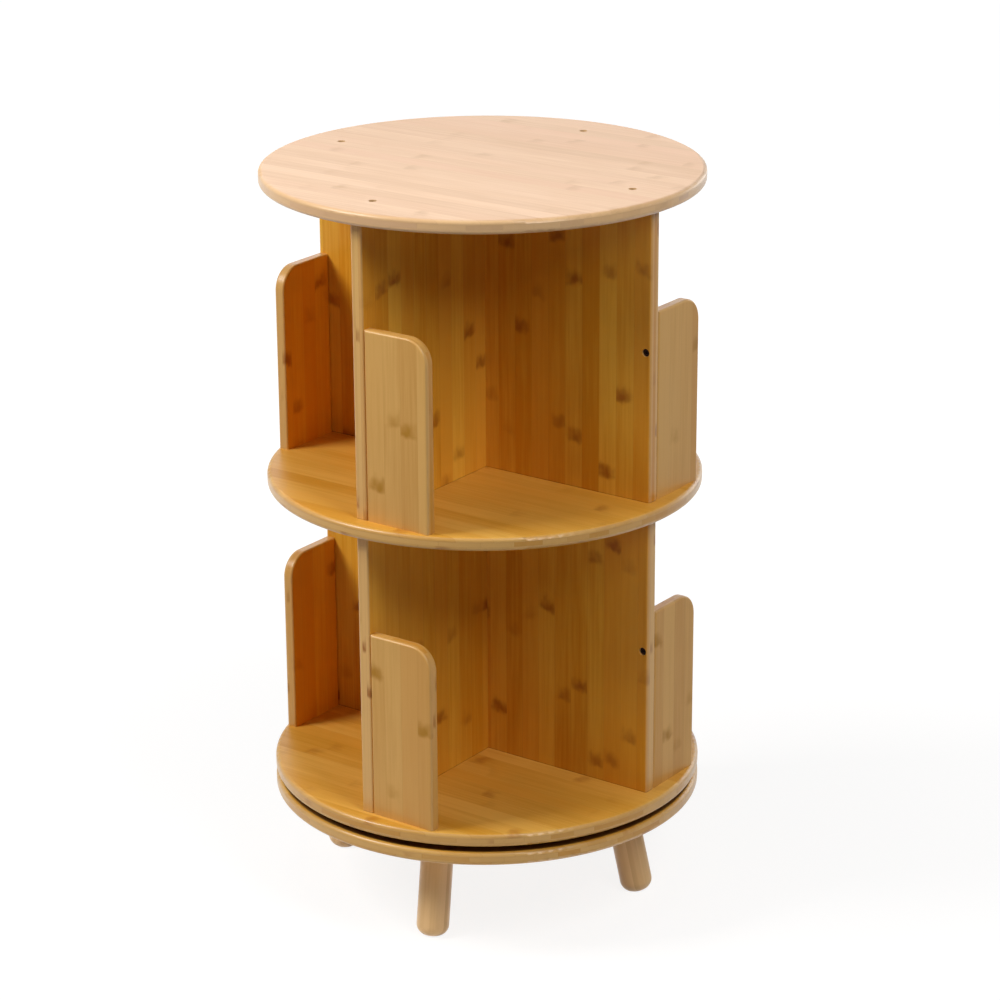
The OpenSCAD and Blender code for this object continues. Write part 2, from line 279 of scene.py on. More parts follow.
class MetalFinish(PropertyGroup):
    """Colours of the metal pieces."""

    screw_black: colour_property("Screws", "Black oxide of the screws", (0.030, 0.013, 0.009))
    zinc: colour_property("Zinc", "Plated steel of the bearing and fixings", (0.56, 0.57, 0.58))
    ball: colour_property("Balls", "Polished steel of the balls", (0.66, 0.66, 0.67))


class StudioSettings(PropertyGroup):
    """Camera, lamps and floor."""

    azimuth: angle_property(
        "Camera azimuth", "Angle of the camera about the turning axis, from the -Y side", 35.971
    )
    reach: length_property("Camera reach", "Level distance from the turning axis to the camera", 3.11478)
    height: length_property("Camera height", "Height of the camera above the floor", 1.5263)
    pitch: angle_property("Camera pitch", "Angle of the camera below the horizon", 19.567)
    yaw: angle_property("Camera yaw", "Angle of the camera to the right of the turning axis", 0.286)
    roll: angle_property("Camera roll", "Turn of the camera about its own line of sight", -0.333)
    lens: number_property("Focal length", "Focal length in millimetres on a 36 mm sensor", 114.4)
    world: number_property("Surrounding light", "Strength of the even light from all round", 0.02)
    key: number_property("Key lamp", "Power of the lamp above and to the left", 48.0)
    fill: number_property("Fill lamp", "Power of the lamp on the right", 34.0)
    back: number_property("Back lamp", "Power of the wide lamp behind, which shines on the top", 6.0)
    over: number_property("Top lamp", "Power of the lamp straight above", 11.0)
    rear: number_property("Rear lamp", "Power of the low wide lamp that lights the far side", 14.0)
    floor: colour_property("Floor", "Colour of the floor under the bookcase", (0.80, 0.80, 0.80))
    surround: colour_property("Surround", "Colour of the floor further away", (0.34, 0.34, 0.34))


class Wiring:
    """Adds nodes to a tree and joins them. A value is a socket, a number or a colour."""

    def __init__(self, tree):
        self.tree = tree

    def add(self, kind, **settings):
        node = self.tree.nodes.new(kind)
        for name, value in settings.items():
            setattr(node, name, value)
        return node

    def feed(self, socket, value):
        if isinstance(value, bpy.types.NodeSocket):
            self.tree.links.new(value, socket)
        elif value is not None:
            socket.default_value = value

    def math(self, operation, first, second=None, third=None):
        node = self.add("ShaderNodeMath", operation=operation)
        for socket, value in zip(node.inputs, (first, second, third)):
            self.feed(socket, value)
        return node.outputs[0]

    def times(self, first, second):
        return self.math("MULTIPLY", first, second)

    def size(self, value):
        return self.math("ABSOLUTE", value)

    def sway(self, value, share, base):
        """The base, moved by a share of how far a value from 0 to 1 lies from its middle."""
        return self.math("MULTIPLY_ADD", self.math("SUBTRACT", value, 0.5), share, base)

    def span(self, x, y, power=2.0):
        """The length of a step of x one way and y the other, on boxier rings for higher powers."""
        first, second = (self.math("POWER", self.size(part), power) for part in (x, y))
        return self.math("POWER", self.math("ADD", first, second), 1.0 / power)

    def vector(self, operation, first, second):
        node = self.add("ShaderNodeVectorMath", operation=operation)
        self.feed(node.inputs[0], first)
        self.feed(node.inputs[1], second)
        return node.outputs[0]

    def step(self, value, start, end, low=0.0, high=1.0):
        """Smooth change from low to high as value goes from start to end."""
        node = self.add("ShaderNodeMapRange", interpolation_type="SMOOTHSTEP")
        for socket, number in zip(node.inputs, (value, start, end, low, high)):
            self.feed(socket, number)
        return node.outputs[0]

    def blend(self, share, first, second):
        """Mix of two numbers."""
        node = self.add("ShaderNodeMix", data_type="FLOAT")
        self.feed(node.inputs[0], share)
        self.feed(node.inputs[2], first)
        self.feed(node.inputs[3], second)
        return node.outputs[0]

    def mix(self, share, first, second, kind="MIX"):
        """Mix of two colours."""
        node = self.add("ShaderNodeMix", data_type="RGBA", blend_type=kind)
        self.feed(node.inputs[0], share)
        self.feed(node.inputs[6], first)
        self.feed(node.inputs[7], second)
        return node.outputs[2]

    def parts(self, vector):
        node = self.add("ShaderNodeSeparateXYZ")
        self.feed(node.inputs[0], vector)
        return node.outputs

    def join(self, x, y, z):
        node = self.add("ShaderNodeCombineXYZ")
        for socket, value in zip(node.inputs, (x, y, z)):
            self.feed(socket, value)
        return node.outputs[0]

    def noise(self, vector, scale, detail, roughness=0.5):
        node = self.add("ShaderNodeTexNoise")
        self.feed(node.inputs["Vector"], vector)
        self.feed(node.inputs["Scale"], scale)
        self.feed(node.inputs["Detail"], detail)
        self.feed(node.inputs["Roughness"], roughness)
        return node.outputs[0]

    def grain(self, place, cells, detail, roughness=0.5):
        """Noise with its own number of cells per metre in each direction."""
        return self.noise(self.vector("MULTIPLY", place, cells), 1.0, detail, roughness)

    def chance(self, x, y, z):
        """Three random values for each cell of whole numbers."""
        node = self.add("ShaderNodeTexWhiteNoise", noise_dimensions="3D")
        self.feed(node.inputs["Vector"], self.join(x, y, z))
        split = self.add("ShaderNodeSeparateColor")
        self.feed(split.inputs[0], node.outputs["Color"])
        return split.outputs[:3]


def new_group(name, inputs, outputs):
    """A shader node group with named sockets: its tree, what it is given and what it puts out."""
    tree = bpy.data.node_groups.new(name, "ShaderNodeTree")
    for side, sockets in (("INPUT", inputs), ("OUTPUT", outputs)):
        for label, kind in sockets.items():
            tree.interface.new_socket(name=label, in_out=side, socket_type=kind)
    given = tree.nodes.new("NodeGroupInput").outputs
    result = tree.nodes.new("NodeGroupOutput").inputs
    return tree, given, result


def eased_edge_group():
    """Mask of the eased edges of turned pieces, from the normal: flat ends and sides are 0."""
    tree, given, result = new_group("Eased edge", {"Normal": VECTOR}, {"Edge": NUMBER})
    w = Wiring(tree)
    x, y, z = w.parts(given["Normal"])
    flat = w.math("MAXIMUM", w.span(x, y), w.size(z))
    w.feed(result["Edge"], w.step(flat, *ROUNDED_FADE))
    return tree


def strip_cells(w, given, across, through):
    """Where a place lies in the plies and strips: its height counted in plies, the whole ply, the
    whole strip and the share of a strip beside the middle. The outer faces stay in their plies."""
    layer = w.math("DIVIDE", through, given["Ply"])
    layer = w.math("MULTIPLY_ADD", layer, 1.0 - 2.0 * PLY_INSET, PLY_INSET)
    ply = w.math("FLOOR", layer)
    lane = w.math("DIVIDE", across, given["Strip Width"])
    lane = w.math("MULTIPLY_ADD", ply, PLY_SHIFT, lane)
    lane = w.math("MULTIPLY_ADD", given["Seed"], SEED_SHIFT, lane)
    strip = w.math("FLOOR", lane)
    beside = w.math("SUBTRACT", w.math("FRACT", lane), 0.5)
    return layer, ply, strip, beside


def growth_rings(w, given, along, ply, strip, beside, phase):
    """Growth rings, one on every length of cane, each strip with its own start: the number of
    the length, the distance from its ring, and the masks of the ring's stain and crease."""
    cane = w.math("DIVIDE", along, given["Knuckle Spacing"])
    cane = w.math("MULTIPLY_ADD", phase, CANE_SHIFT, cane)
    length = w.math("FLOOR", cane)
    slide, strength, lean = w.chance(strip, length, w.math("ADD", given["Seed"], ply))
    from_ring = w.math("SUBTRACT", w.math("FRACT", cane), w.sway(slide, RING_SLIDE, 0.5))
    from_ring = w.times(from_ring, given["Knuckle Spacing"])
    tilt = w.times(w.sway(slide, RING_TILT, 0.0), beside)
    blot = w.grain(given["Place"], BLOT_CELLS, detail=1.0)
    from_ring = w.sway(blot, RING_WAVER, w.math("ADD", from_ring, tilt))
    stain = ring_stain(w, given, from_ring, beside, strength, lean)
    crease = w.step(w.size(from_ring), *CREASE_FADE)
    crease = w.times(crease, w.step(strength, *CREASE_STRENGTH))
    stain, crease = (w.times(mask, given["Knuckle Share"]) for mask in (stain, crease))
    return length, from_ring, stain, crease


def ring_stain(w, given, from_ring, beside, strength, lean):
    """A boxy stain that reaches further on one side of its ring, patchy inside, in a soft halo."""
    ragged = w.grain(given["Place"], RAGGED_CELLS, detail=1.0)
    reach = w.math("MULTIPLY_ADD", w.math("SIGN", from_ring), RING_SKEW, RING_REACH)
    level = w.math("DIVIDE", from_ring, reach)
    aside = w.math("SUBTRACT", beside, w.sway(lean, RING_LEAN, 0.0))
    aside = w.times(aside, w.math("MULTIPLY_ADD", strength, RING_WIDEN, RING_NARROW))
    far = w.sway(ragged, RING_RAGGED, w.span(aside, level, RING_BOXY))
    stain = w.times(w.step(far, *STAIN_FADE), w.step(ragged, *PATCH_FADE))
    stain = w.blend(HALO_SHARE, stain, w.step(far, *HALO_FADE))
    return w.times(stain, w.step(strength, *STAIN_STRENGTH))


def face_colour(w, given, tones, warmth):
    """The colour of a strip's face, from pale to deep by its tones; some strips are warmer."""
    depth = 0.5
    for tone, share in tones:
        depth = w.sway(tone, share, depth)
    depth = w.math("MINIMUM", w.math("MAXIMUM", depth, 0.0), 1.0)
    colour = w.mix(depth, given["Pale"], given["Deep"])
    return w.mix(w.step(warmth, *WARM_FADE), colour, given["Warm"])


def sawn_colour(w, given, layer, tone):
    """The colour of a sawn edge, where the middle ply's darker strips show as dashes."""
    middle = w.step(w.size(w.math("SUBTRACT", layer, PLIES / 2)), *MIDDLE_FADE)
    dash = w.times(w.step(tone, *DASH_FADE), middle)
    return w.mix(dash, given["Cut"], w.mix(DASH_KNUCKLE, given["Deep"], given["Knuckle"]))


def bamboo_group():
    """Strips of bamboo glued side by side in three plies. Place holds the distances across the
    strips, along them and through the board, and Facing is the normal in the same directions."""
    tree, given, result = new_group(
        "Laminated bamboo",
        {
            "Place": VECTOR,
            "Facing": VECTOR,
            "Seed": NUMBER,
            "Strip Width": NUMBER,
            "Ply": NUMBER,
            "Knuckle Spacing": NUMBER,
            "Knuckle Share": NUMBER,
            "Pale": COLOUR,
            "Deep": COLOUR,
            "Warm": COLOUR,
            "Knuckle": COLOUR,
            "Cut": COLOUR,
            "Lacquer": NUMBER,
            "Gloss": NUMBER,
        },
        {"Color": COLOUR, "Roughness": NUMBER, "Coat": NUMBER, "Height": NUMBER},
    )
    w = Wiring(tree)
    seed = given["Seed"]
    edge = w.step(w.size(w.parts(given["Facing"])[2]), *EDGE_FADE)
    across, along, through = w.parts(given["Place"])
    layer, ply, strip, beside = strip_cells(w, given, across, through)
    tone, warmth, phase = w.chance(strip, ply, seed)
    length, from_ring, stain, crease = growth_rings(w, given, along, ply, strip, beside, phase)

    # The tone of a strip can change from one length of cane to the next
    length_seed = w.math("ADD", seed, LENGTH_SEED)
    before = w.chance(strip, length, length_seed)[0]
    after = w.chance(strip, w.math("ADD", length, 1.0), length_seed)[0]
    length_tone = w.blend(w.step(from_ring, *LENGTH_FADE), before, after)

    # Fibres, broader streaks and slow drifts of tone along each strip
    shift = (w.times(value, share) for value, share in zip((strip, phase, seed), GRAIN_SHIFTS))
    own_place = w.vector("ADD", given["Place"], w.join(*shift))
    fibre = w.grain(own_place, FIBRE_CELLS, detail=3.0, roughness=0.6)
    streak = w.grain(own_place, STREAK_CELLS, detail=2.0)
    drift = w.grain(own_place, DRIFT_CELLS, detail=2.0)

    # Glue lines between the strips, and between the plies where the edge shows them
    joint = w.step(w.size(beside), *JOINT_FADE)
    seam = w.step(w.size(w.math("SUBTRACT", w.math("FRACT", layer), 0.5)), *SEAM_FADE)
    lines = w.math("MAXIMUM", joint, w.times(seam, edge))

    tones = (
        (tone, STRIP_TONE),
        (length_tone, LENGTH_TONE),
        (fibre, FIBRE_TONE),
        (streak, STREAK_TONE),
        (drift, DRIFT_TONE),
    )
    colour = face_colour(w, given, tones, warmth)
    colour = w.mix(w.times(edge, EDGE_BLEND), colour, sawn_colour(w, given, layer, tone))
    for mask, share in ((stain, STAIN_BLEND), (crease, CREASE_BLEND), (lines, LINE_BLEND)):
        colour = w.mix(w.times(mask, share), colour, given["Knuckle"])
    w.feed(result["Color"], colour)

    rough = w.sway(streak, STREAK_ROUGHNESS, given["Lacquer"])
    rough = w.sway(fibre, FIBRE_ROUGHNESS, rough)
    rough = w.math("MULTIPLY_ADD", stain, STAIN_ROUGHNESS, rough)
    rough = w.math("MULTIPLY_ADD", edge, EDGE_ROUGHNESS, rough)
    w.feed(result["Roughness"], rough)
    w.feed(result["Coat"], w.math("MULTIPLY_ADD", edge, EDGE_GLOSS, given["Gloss"]))

    height = w.times(streak, STREAK_HEIGHT)
    for value, share in ((fibre, FIBRE_HEIGHT), (lines, LINE_HEIGHT), (crease, CREASE_HEIGHT)):
        height = w.math("MULTIPLY_ADD", value, share, height)
    w.feed(result["Height"], height)
    return tree


def metal_group():
    """Tumbled and plated metal: cloudy tone, fine scratches, bare bright edges."""
    tree, given, result = new_group(
        "Worked metal",
        {"Place": VECTOR, "Tint": COLOUR, "Bare": COLOUR, "Edge": NUMBER, "Roughness": NUMBER},
        {"Color": COLOUR, "Roughness": NUMBER, "Height": NUMBER},
    )
    w = Wiring(tree)
    place = given["Place"]
    cloud = w.noise(place, CLOUD_CELLS, detail=3.0)
    spangle = w.noise(place, SPANGLE_CELLS, detail=2.0)
    scratch = w.grain(place, SCRATCH_CELLS, detail=2.0)
    tone = w.sway(cloud, CLOUD_TONE, PLATING_TONE)
    colour = w.mix(1.0, given["Tint"], w.join(tone, tone, tone), "MULTIPLY")
    colour = w.mix(w.times(given["Edge"], BARE_BLEND), colour, given["Bare"])
    w.feed(result["Color"], colour)
    rough = w.sway(cloud, CLOUD_ROUGHNESS, given["Roughness"])
    w.feed(result["Roughness"], w.sway(spangle, SPANGLE_ROUGHNESS, rough))
    height = w.times(spangle, SPANGLE_HEIGHT)
    w.feed(result["Height"], w.math("MULTIPLY_ADD", scratch, SCRATCH_HEIGHT, height))
    return tree


def shared_group(name, make):
    """The node group of that name, made on first use."""
    return bpy.data.node_groups.get(name) or make()


def new_material(name):
    """A material with only its Principled shader, and the wiring to add to it."""
    material = bpy.data.materials.new(name)
    material.use_nodes = True
    tree = material.node_tree
    return material, Wiring(tree), tree.nodes["Principled BSDF"]


def relief(w, shader, height, distance, strength):
    """A fine relief on the shader's normal."""
    node = w.add("ShaderNodeBump")
    node.inputs["Distance"].default_value = distance
    node.inputs["Strength"].default_value = strength
    w.feed(node.inputs["Height"], height)
    w.feed(shader.inputs["Normal"], node.outputs["Normal"])


def group_node(w, tree, **values):
    """A node group placed in a material, with its sockets set by name (spaces as underscores)."""
    node = w.add("ShaderNodeGroup")
    node.node_tree = tree
    for name, value in values.items():
        w.feed(node.inputs[name.replace("_", " ")], value)
    return node


def four(colour):
    """The colour with full cover as its fourth value."""
    return (*colour, 1.0)


def bamboo_material(
    name, axes, origin, seed, colours, strip_width, ply, rings=BOARD_RINGS, gloss=BOARD_GLOSS, inner_wood_and_shade=None
):
    """Lacquered bamboo for one piece: axes are its directions across, along and through the
    strips, and origin is where all three are zero. Inner wood and shade holds other colours for
    the face that looks back against the third direction, partly the wood's own and partly
    painted shade."""
    finish = bpy.context.scene.bookcase_bamboo
    material, w, shader = new_material(name)
    surface = w.add("ShaderNodeTexCoord")
    axes = Matrix(axes)
    place = w.add("ShaderNodeMapping")
    place.inputs["Rotation"].default_value = axes.to_euler()
    place.inputs["Location"].default_value = -(axes @ Vector(origin))
    w.feed(place.inputs["Vector"], surface.outputs["Object"])
    facing = w.add("ShaderNodeMapping", vector_type="VECTOR")
    facing.inputs["Rotation"].default_value = axes.to_euler()
    w.feed(facing.inputs["Vector"], surface.outputs["Normal"])
    shown = [four(colour) for colour in colours]
    if inner_wood_and_shade:
        # The face that looks back takes the inner colours, partly painted shade.
        shaded_back = w.step(w.parts(facing.outputs["Vector"])[2], *BACK_FADE)
        shown = [w.mix(shaded_back, outer, four(colour)) for outer, colour in zip(shown, inner_wood_and_shade)]
    pale, deep, warm, knuckle, cut = shown
    bamboo = group_node(
        w,
        shared_group("Laminated bamboo", bamboo_group),
        Place=place.outputs["Vector"],
        Facing=facing.outputs["Vector"],
        Seed=float(seed),
        Strip_Width=strip_width,
        Ply=ply,
        Knuckle_Spacing=finish.knuckle_spacing,
        Knuckle_Share=rings,
        Pale=pale,
        Deep=deep,
        Warm=warm,
        Knuckle=knuckle,
        Cut=cut,
        Lacquer=finish.lacquer_roughness,
        Gloss=gloss,
    )
    w.feed(shader.inputs["Base Color"], bamboo.outputs["Color"])
    w.feed(shader.inputs["Roughness"], bamboo.outputs["Roughness"])
    w.feed(shader.inputs["Coat Weight"], bamboo.outputs["Coat"])
    relief(w, shader, bamboo.outputs["Height"], GRAIN_RELIEF, GRAIN_STRENGTH)
    shader.inputs["Specular IOR Level"].default_value = LACQUER_SPECULAR
    shader.inputs["Coat Roughness"].default_value = COAT_ROUGHNESS
    return material


def paint_shade(material, heights, share, radius=None):
    """Paints shade on a material, darker and darker from the first of two heights to the second,
    and only as far as a radius about the turning axis if one is given."""
    tree = material.node_tree
    w = Wiring(tree)
    base_colour = tree.nodes["Principled BSDF"].inputs["Base Color"]
    colour = base_colour.links[0].from_socket
    x, y, z = w.parts(w.add("ShaderNodeTexCoord").outputs["Object"])
    shade_amount = w.times(w.step(z, *heights), share)
    if radius:
        shade_amount = w.times(shade_amount, w.step(w.span(x, y), radius, radius - GAP_SHADE_FADE))
    w.feed(base_colour, w.mix(shade_amount, colour, PAINTED_SHADE_TONE))


def board_bamboo(name, axes, origin, seed):
    """The honey bamboo of the partitions, its deep red partly painted shade of the bays."""
    finish = bpy.context.scene.bookcase_bamboo
    colours = (finish.pale, finish.deep, finish.warm, finish.knuckle, finish.end_cut)
    return bamboo_material(name, axes, origin, seed, colours, finish.strip_width, finish.ply)


def shelf_bamboo(name, axes, origin, seed):
    """The even bamboo of the shelves and the base, glossier and with softer growth rings."""
    finish = bpy.context.scene.bookcase_bamboo
    colours = (finish.shelf_pale, finish.shelf_deep, finish.shelf_warm, finish.knuckle, finish.cut)
    sizes = (finish.strip_width, finish.ply)
    return bamboo_material(name, axes, origin, seed, colours, *sizes, SHELF_RINGS, SHELF_GLOSS)


def stop_bamboo(name, axes, origin, seed):
    """The duller bamboo of the book stops, richer on the face towards the books: that face takes the
    partitions' colours, partly painted shade of the bays.
    """
    finish = bpy.context.scene.bookcase_bamboo
    outer = (finish.stop_pale, finish.stop_deep, finish.stop_warm, finish.stop_knuckle, finish.cut)
    # Partly painted shade: the inner face's warmer, deeper colours stand for the shade in the bays.
    inner_wood_and_shade = (finish.pale, finish.warm, finish.warm, finish.knuckle, finish.cut)
    sizes = (finish.strip_width, finish.stop_ply)
    return bamboo_material(name, axes, origin, seed, outer, *sizes, inner_wood_and_shade=inner_wood_and_shade)


def lit_top_bamboo(name, axes, origin, seed):
    """The bamboo of the top, paler as painted light from above, with faint growth rings."""
    finish = bpy.context.scene.bookcase_bamboo
    colours = (finish.top_pale, finish.top_deep, finish.top_warm, finish.top_knuckle, finish.top_cut)
    sizes = (finish.strip_width, finish.ply)
    return bamboo_material(name, axes, origin, seed, colours, *sizes, TOP_RINGS)


def turned_bamboo(name, axes, origin, seed):
    """Bamboo turned from one block, with fine fibres and no growth rings."""
    finish = bpy.context.scene.bookcase_bamboo
    colours = (finish.leg_pale, finish.leg_deep, finish.leg_pale, finish.leg_deep, finish.leg_pale)
    return bamboo_material(name, axes, origin, seed, colours, WHOLE_STRIP, finish.ply, NO_RINGS)


def metal_material(name, tint, bare, roughness, metallic=1.0):
    """Plated, blackened or polished metal."""
    material, w, shader = new_material(name)
    surface = w.add("ShaderNodeTexCoord")
    edge = group_node(w, shared_group("Eased edge", eased_edge_group), Normal=surface.outputs["Normal"])
    metal = group_node(
        w,
        shared_group("Worked metal", metal_group),
        Place=surface.outputs["Object"],
        Tint=four(tint),
        Bare=four(bare),
        Edge=edge.outputs["Edge"],
        Roughness=roughness,
    )
    w.feed(shader.inputs["Base Color"], metal.outputs["Color"])
    w.feed(shader.inputs["Roughness"], metal.outputs["Roughness"])
    relief(w, shader, metal.outputs["Height"], SCRATCH_RELIEF, SCRATCH_STRENGTH)
    shader.inputs["Metallic"].default_value = metallic
    shader.inputs["Specular IOR Level"].default_value = METAL_SPECULAR * metallic
    return material


def dress(material, *nodes):
    """Gives CAD nodes one material on all their faces."""
    for node in nodes:
        piece = NODES[node]
        piece.data.materials.clear()
        piece.data.materials.append(material)


class BOOKCASE_OT_round_boards(Operator):
    """Finish the top, the middle shelf, the turntable deck and the base disc"""

    bl_idname = "bookcase.round_boards"
    bl_label = "Round boards"

    def execute(self, context):
        axes = (-Y_AXIS, X_AXIS, Z_AXIS)
        for seed, node in enumerate(ROUND_BOARDS, BOARD_SEED):
            low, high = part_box(node)
            make = lit_top_bamboo if node == "top_panel" else shelf_bamboo
            material = make(node + "_bamboo", axes, (0, 0, low.z), seed)
            # The base disc's upper face gets painted shade in the bearing gap, where the deck's shadow
            # falls.
            if node == "base_disc":
                heights = [high.z - depth for depth in GAP_SHADE_DEPTHS]
                paint_shade(material, heights, GAP_SHADE_SHARE, high.x - GAP_SHADE_INSET)
            dress(material, node)
        return {"FINISHED"}


class BOOKCASE_OT_partitions(Operator):
    """Finish the crossed partitions of both tiers"""

    bl_idname = "bookcase.partitions"
    bl_label = "Partitions"

    def execute(self, context):
        seed = PARTITION_SEED
        along_x = (X_AXIS, Z_AXIS, -Y_AXIS)
        along_y = (Y_AXIS, Z_AXIS, X_AXIS)
        for tier in TIERS:
            low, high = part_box(tier + "_partition_1")
            heights = [low.z + height for height in FOOT_SHADE_HEIGHTS]
            boards = ((along_x, (0, high.y, 0)), (along_y, (-high.y, 0, 0)))
            for number, (axes, origin) in enumerate(boards, 1):
                node = f"{tier}_partition_{number}"
                material = board_bamboo(node + "_bamboo", axes, origin, seed)
                # Painted shade along the foot of each partition, in its joint with the shelf.
                paint_shade(material, heights, FOOT_SHADE_SHARE)
                dress(material, node)
                seed += 1
        return {"FINISHED"}


class BOOKCASE_OT_book_stops(Operator):
    """Finish the eight book stops"""

    bl_idname = "bookcase.book_stops"
    bl_label = "Book stops"

    def execute(self, context):
        seed = STOP_SEED
        for tier in TIERS:
            for arm, outward in enumerate(ARM_DIRECTIONS, 1):
                node = f"{tier}_stop_{arm}"
                low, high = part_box(node)
                across = Z_AXIS.cross(outward)
                lead = across + outward
                corner = (low.x if lead.x > 0 else high.x, low.y if lead.y > 0 else high.y, 0)
                dress(stop_bamboo(node + "_bamboo", (across, Z_AXIS, outward), corner, seed), node)
                seed += 1
        return {"FINISHED"}


class BOOKCASE_OT_legs(Operator):
    """Finish the four splayed legs"""

    bl_idname = "bookcase.legs"
    bl_label = "Legs"

    def execute(self, context):
        for number in range(LEG_COUNT):
            node = f"leg_{number + 1}"
            low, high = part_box(node)
            middle = (low + high) / 2
            outward = Vector((middle.x, middle.y, 0)).normalized()
            along = Z_AXIS * math.cos(LEG_LEAN) - outward * math.sin(LEG_LEAN)
            across = Z_AXIS.cross(outward)
            axes = (across, along, across.cross(along))
            dress(turned_bamboo(node + "_bamboo", axes, middle, LEG_SEED + number), node)
        return {"FINISHED"}


class BOOKCASE_OT_bearing(Operator):
    """Finish the turntable bearing's plates, cage, balls and rivet"""

    bl_idname = "bookcase.bearing"
    bl_label = "Turntable bearing"

    def execute(self, context):
        metal = context.scene.bookcase_metal
        plate = metal_material("bearing_plate_zinc", metal.zinc, metal.ball, roughness=0.34)
        cage = metal_material("ball_cage_steel", metal.zinc, metal.ball, roughness=0.42)
        balls = metal_material("bearing_ball_steel", metal.ball, metal.ball, roughness=0.10)
        dress(plate, "bearing_upper_plate", "bearing_lower_plate", "pivot_rivet")
        dress(cage, "ball_cage")
        dress(balls, "bearing_balls")
        return {"FINISHED"}


class BOOKCASE_OT_screws(Operator):
    """Finish the black wood screws and the plated plate screws"""

    bl_idname = "bookcase.screws"
    bl_label = "Screws"

    def execute(self, context):
        metal = context.scene.bookcase_metal
        black = metal_material(
            "black_screw_steel", metal.screw_black, SCREW_BARE, roughness=0.50, metallic=0.3
        )
        plated = metal_material("plate_screw_zinc", metal.zinc, metal.ball, roughness=0.30)
        dress(black, "top_screws", "mid_shelf_screws", "deck_screws")
        for tier in TIERS:
            dress(black, tier + "_stop_screws", tier + "_stop_base_screws")
        dress(plated, "bearing_upper_screws", "bearing_lower_screws")
        return {"FINISHED"}


class BOOKCASE_OT_fixings(Operator):
    """Finish the leg bolts, their threaded inserts and the partition dowels"""

    bl_idname = "bookcase.fixings"
    bl_label = "Leg fixings and dowels"

    def execute(self, context):
        metal = context.scene.bookcase_metal
        plated = metal_material("leg_fixing_zinc", metal.zinc, metal.ball, roughness=0.32)
        dowel = turned_bamboo("dowel_wood", (X_AXIS, Z_AXIS, -Y_AXIS), (0, 0, 0), DOWEL_SEED)
        dress(plated, "leg_bolts", "leg_inserts")
        dress(dowel, "partition_dowels")
        return {"FINISHED"}


def white_rays(w):
    """Mask of the rays that see the studio as white: the camera's, and those by gloss or glass."""
    path = w.add("ShaderNodeLightPath").outputs
    seen = w.math("MAXIMUM", path["Is Camera Ray"], path["Is Glossy Ray"])
    return w.math("MAXIMUM", seen, path["Is Transmission Ray"])


def floor_paint(colour, surround):
    """Floor paint that lights the bookcase in its own colours, but looks white with a shadow."""
    material = bpy.data.materials.new("studio_floor_paint")
    material.use_nodes = True
    tree = material.node_tree
    tree.nodes.clear()
    w = Wiring(tree)
    output = w.add("ShaderNodeOutputMaterial")
    away = w.add("ShaderNodeVectorMath", operation="LENGTH")
    w.feed(away.inputs[0], w.add("ShaderNodeTexCoord").outputs["Object"])
    distance = away.outputs["Value"]
    paint = w.add("ShaderNodeBsdfDiffuse")
    tone = w.mix(w.step(distance, *SURROUND_FADE), four(colour), four(surround))
    w.feed(paint.inputs["Color"], tone)
    shadow = w.add("ShaderNodeBsdfDiffuse")
    shadow.inputs["Color"].default_value = FLOOR_SHADOW
    glow = w.add("ShaderNodeEmission")
    glow.inputs["Color"].default_value = WHITE
    w.feed(glow.inputs["Strength"], w.step(distance, *GLOW_FADE))
    white = w.add("ShaderNodeAddShader")
    w.feed(white.inputs[0], shadow.outputs[0])
    w.feed(white.inputs[1], glow.outputs[0])
    choose = w.add("ShaderNodeMixShader")
    w.feed(choose.inputs[0], white_rays(w))
    w.feed(choose.inputs[1], paint.outputs[0])
    w.feed(choose.inputs[2], white.outputs[0])
    w.feed(output.inputs["Surface"], choose.outputs[0])
    return material


def studio_floor(colour, surround):
    """A wide level floor just under the feet."""
    reach = FLOOR_REACH
    corners = [(-reach, -reach, 0), (reach, -reach, 0), (reach, reach, 0), (-reach, reach, 0)]
    mesh = bpy.data.meshes.new("studio_floor")
    mesh.from_pydata(corners, [], [(0, 1, 2, 3)])
    mesh.materials.append(floor_paint(colour, surround))
    floor = bpy.data.objects.new("studio_floor", mesh)
    floor.location.z = -FLOOR_DROP
    bpy.context.scene.collection.objects.link(floor)


def studio_world(strength):
    """An even surround that looks white and lights at its own strength."""
    world = bpy.data.worlds.new("studio_surround")
    world.use_nodes = True
    tree = world.node_tree
    tree.nodes.clear()
    w = Wiring(tree)
    output = w.add("ShaderNodeOutputWorld")
    background = w.add("ShaderNodeBackground")
    background.inputs["Color"].default_value = WHITE
    level = w.math("MULTIPLY_ADD", white_rays(w), 1.0 - strength, strength)
    w.feed(background.inputs["Strength"], level)
    w.feed(output.inputs["Surface"], background.outputs[0])
    bpy.context.scene.world = world


def studio_lamp(name, azimuth, elevation, distance, width, height, power):
    """A soft lamp aimed at the middle of the bookcase."""
    lamp = bpy.data.lights.new(name, "AREA")
    lamp.shape = "RECTANGLE"
    lamp.size = width
    lamp.size_y = height
    lamp.energy = power
    lamp.color = LAMP_TINT
    holder = bpy.data.objects.new(name, lamp)
    a, e = math.radians(azimuth), math.radians(elevation)
    away = Vector((math.sin(a) * math.cos(e), -math.cos(a) * math.cos(e), math.sin(e)))
    holder.location = LAMP_AIM + away * distance
    holder.rotation_mode = "QUATERNION"
    holder.rotation_quaternion = (-away).to_track_quat("-Z", "Y")
    bpy.context.scene.collection.objects.link(holder)


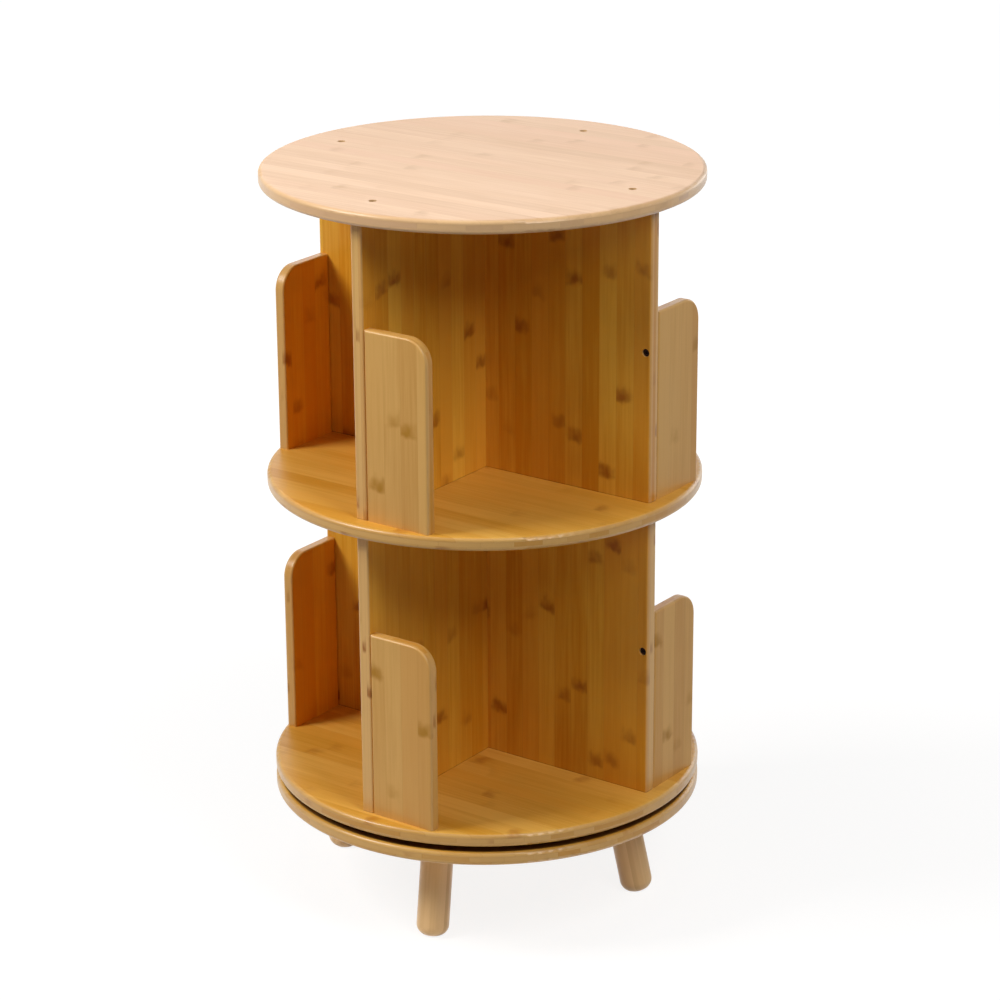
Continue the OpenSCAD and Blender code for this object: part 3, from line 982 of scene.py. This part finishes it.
def studio_camera(studio):
    """The camera at the photograph's viewpoint."""
    data = bpy.data.cameras.new("studio_camera")
    data.sensor_width = SENSOR_WIDTH
    data.lens = studio.lens
    camera = bpy.data.objects.new("studio_camera", data)
    a = studio.azimuth
    place = Vector((math.sin(a) * studio.reach, -math.cos(a) * studio.reach, studio.height))
    heading = Matrix.Rotation(a - studio.yaw, 4, "Z")
    tilt = Matrix.Rotation(math.radians(90) - studio.pitch, 4, "X")
    roll = Matrix.Rotation(studio.roll, 4, "Z")
    camera.matrix_world = Matrix.Translation(place) @ heading @ tilt @ roll
    bpy.context.scene.collection.objects.link(camera)
    bpy.context.scene.camera = camera


class BOOKCASE_OT_stage(Operator):
    """Set up the floor, the surround, the lamps and the camera"""

    bl_idname = "bookcase.stage"
    bl_label = "Studio"

    def execute(self, context):
        studio = context.scene.bookcase_studio
        context.scene.view_settings.view_transform = "Standard"
        studio_floor(studio.floor, studio.surround)
        studio_world(studio.world)
        for name, azimuth, elevation, distance, width, height in LAMPS:
            power = getattr(studio, name)
            studio_lamp(name + "_lamp", azimuth, elevation, distance, width, height, power)
        studio_camera(studio)
        return {"FINISHED"}


class BOOKCASE_PT_sidebar(Panel):
    """Lists the steps that dress the bookcase"""

    bl_label = "Revolving bookcase"
    bl_idname = "BOOKCASE_PT_sidebar"
    bl_space_type = "VIEW_3D"
    bl_region_type = "UI"
    bl_category = "Bookcase"

    def draw(self, context):
        for step in STEPS:
            self.layout.operator(step.bl_idname)


STEPS = (
    BOOKCASE_OT_stage,
    BOOKCASE_OT_round_boards,
    BOOKCASE_OT_partitions,
    BOOKCASE_OT_book_stops,
    BOOKCASE_OT_legs,
    BOOKCASE_OT_bearing,
    BOOKCASE_OT_screws,
    BOOKCASE_OT_fixings,
)
SETTINGS = (BambooFinish, MetalFinish, StudioSettings)


def register():
    for kind in (*SETTINGS, *STEPS, BOOKCASE_PT_sidebar):
        bpy.utils.register_class(kind)
    bpy.types.Scene.bookcase_bamboo = PointerProperty(type=BambooFinish)
    bpy.types.Scene.bookcase_metal = PointerProperty(type=MetalFinish)
    bpy.types.Scene.bookcase_studio = PointerProperty(type=StudioSettings)


def unregister():
    del bpy.types.Scene.bookcase_studio
    del bpy.types.Scene.bookcase_metal
    del bpy.types.Scene.bookcase_bamboo
    for kind in (BOOKCASE_PT_sidebar, *reversed(STEPS), *reversed(SETTINGS)):
        bpy.utils.unregister_class(kind)


def main():
    register()
    bpy.ops.bookcase.stage()
    bpy.ops.bookcase.round_boards()
    bpy.ops.bookcase.partitions()
    bpy.ops.bookcase.book_stops()
    bpy.ops.bookcase.legs()
    bpy.ops.bookcase.bearing()
    bpy.ops.bookcase.screws()
    bpy.ops.bookcase.fixings()


if __name__ == "__main__":
    main()
